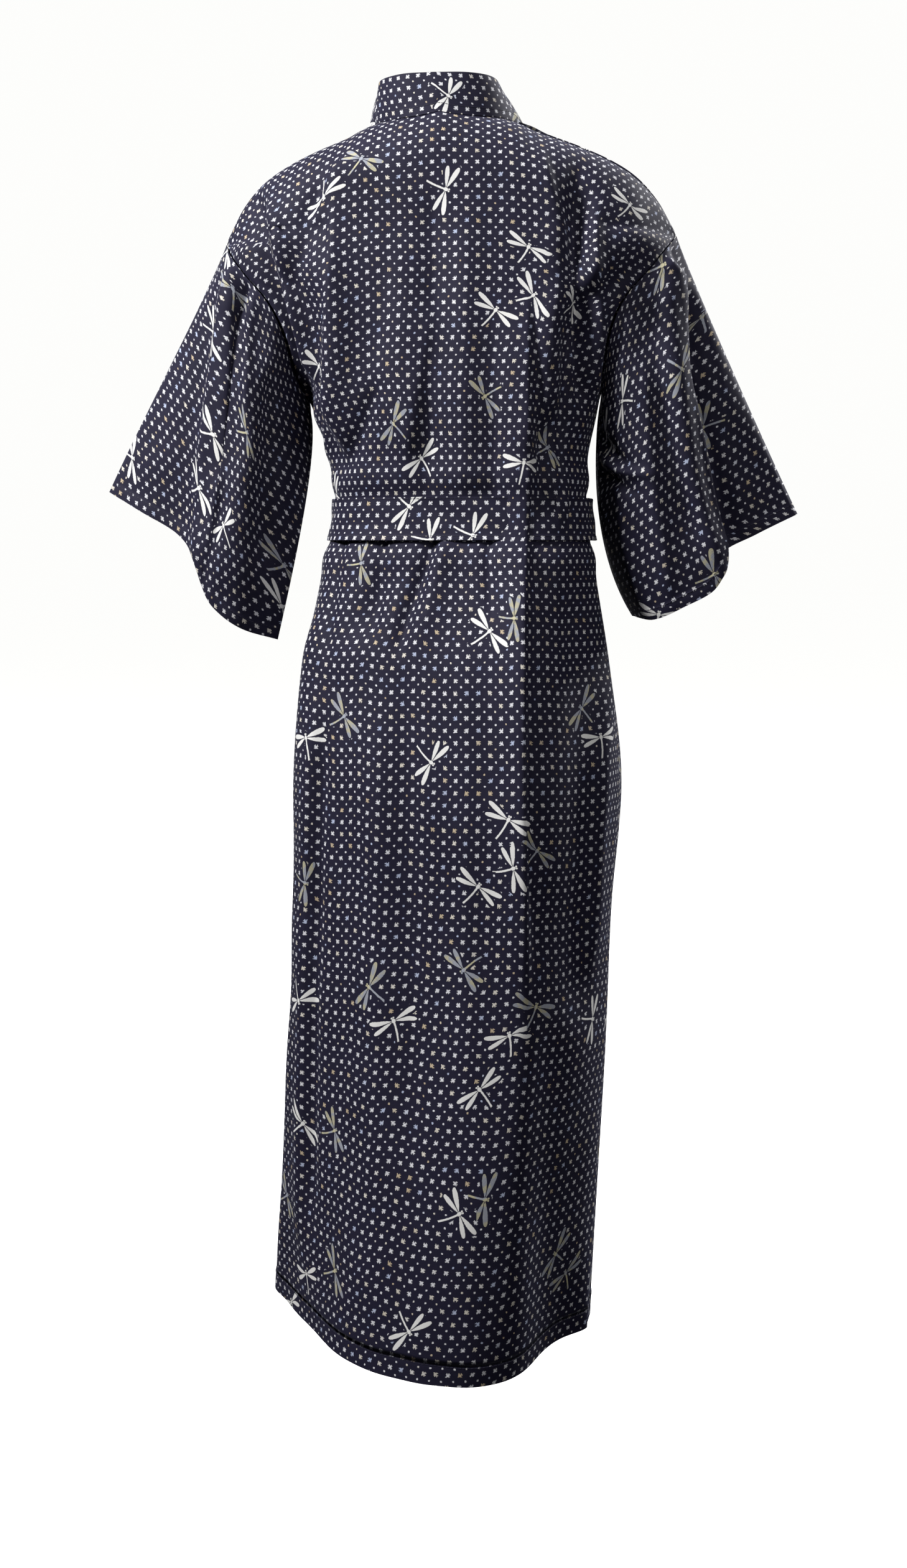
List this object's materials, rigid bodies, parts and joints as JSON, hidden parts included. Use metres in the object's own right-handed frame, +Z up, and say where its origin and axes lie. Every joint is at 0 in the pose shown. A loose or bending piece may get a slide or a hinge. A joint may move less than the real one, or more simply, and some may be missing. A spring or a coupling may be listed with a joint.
{
  "type": "cotton kimono robe with its belt, in the hollow shape it has when worn",
  "caption": "Full-length unlined kimono robe of dark indigo cotton with dropped sleeves, a narrow standing neckband and a tied belt of the same cloth.",
  "frame": {"origin": "middle of the back neck seam, where the robe hangs on the wearer's neck and shoulders", "axes": "+Z up, the front faces -Y, the wearer's left is +X"},
  "size_m": [0.8316, 0.3459, 1.4406],
  "materials": {
    "printed_cotton": "matte plain-weave cotton, dark indigo with small white marks"
  },
  "bodies": {
    "root": {"back": "printed_cotton", "front_left": "printed_cotton", "front_right": "printed_cotton", "overlap_left": "printed_cotton", "overlap_right": "printed_cotton", "sleeve_left": "printed_cotton", "sleeve_right": "printed_cotton", "neckband": "printed_cotton", "belt": "printed_cotton", "belt_knot": "printed_cotton", "belt_end_left": "printed_cotton", "belt_end_right": "printed_cotton"}
  },
  "joints": []
}
